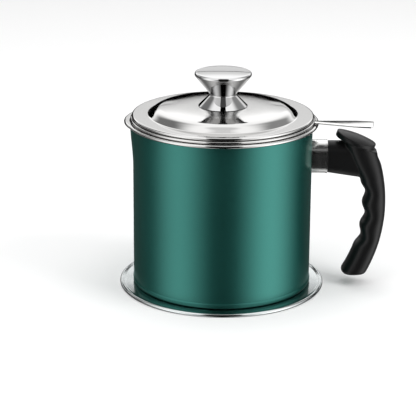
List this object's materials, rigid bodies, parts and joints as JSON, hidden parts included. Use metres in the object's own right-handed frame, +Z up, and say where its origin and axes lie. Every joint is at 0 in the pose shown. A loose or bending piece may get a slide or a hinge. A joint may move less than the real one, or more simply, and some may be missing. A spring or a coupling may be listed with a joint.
{
  "type": "bacon grease container",
  "caption": "Round lidded grease pot with a lift-out strainer, a side handle with a thumb rest, a pouring lip and a drip tray.",
  "frame": {"origin": "on the pot's axis, at the height of the tray's foot on the table", "axes": "+Z up along the pot's axis, +X towards the handle, the pouring lip at -X"},
  "size_m": [0.1814, 0.14, 0.1489],
  "materials": {
    "tray_steel": "polished stainless steel",
    "green_paint": "satin metallic teal-green coat over steel",
    "plain_steel": "plain stainless steel",
    "brushed_steel": "brushed round the sleeve",
    "black_moulding": "satin black heat-resistant moulding",
    "polished_steel": "polished stainless steel",
    "woven_steel": "fine woven stainless wire",
    "mirror_steel": "mirror-polished stainless steel"
  },
  "bodies": {
    "tray": {"tray": "tray_steel"},
    "pot": {"pot_body": "green_paint", "handle_bracket": "plain_steel", "ferrule": "brushed_steel", "handle_grip": "black_moulding", "handle_washer": "plain_steel", "handle_spring_washer": "plain_steel", "handle_screw": "plain_steel"},
    "strainer": {"strainer_frame": "polished_steel", "strainer_mesh": "woven_steel", "strainer_clamp_ring": "plain_steel", "strainer_tab": "polished_steel"},
    "lid": {"lid_shell": "mirror_steel", "lid_skirt": "plain_steel", "knob_body": "mirror_steel", "knob_cap": "mirror_steel", "knob_boss": "plain_steel", "knob_washer": "plain_steel", "knob_screw": "plain_steel"}
  },
  "joints": [
    {"name": "pot_lift", "type": "slide", "parent": "tray", "child": "pot", "axis": [0, 0, 1], "range_m": [0, 0.03]},
    {"name": "strainer_lift", "type": "slide", "parent": "pot", "child": "strainer", "axis": [0, 0, 1], "range_m": [0, 0.05]},
    {"name": "lid_lift", "type": "slide", "parent": "strainer", "child": "lid", "axis": [0, 0, 1], "range_m": [0, 0.04]}
  ]
}
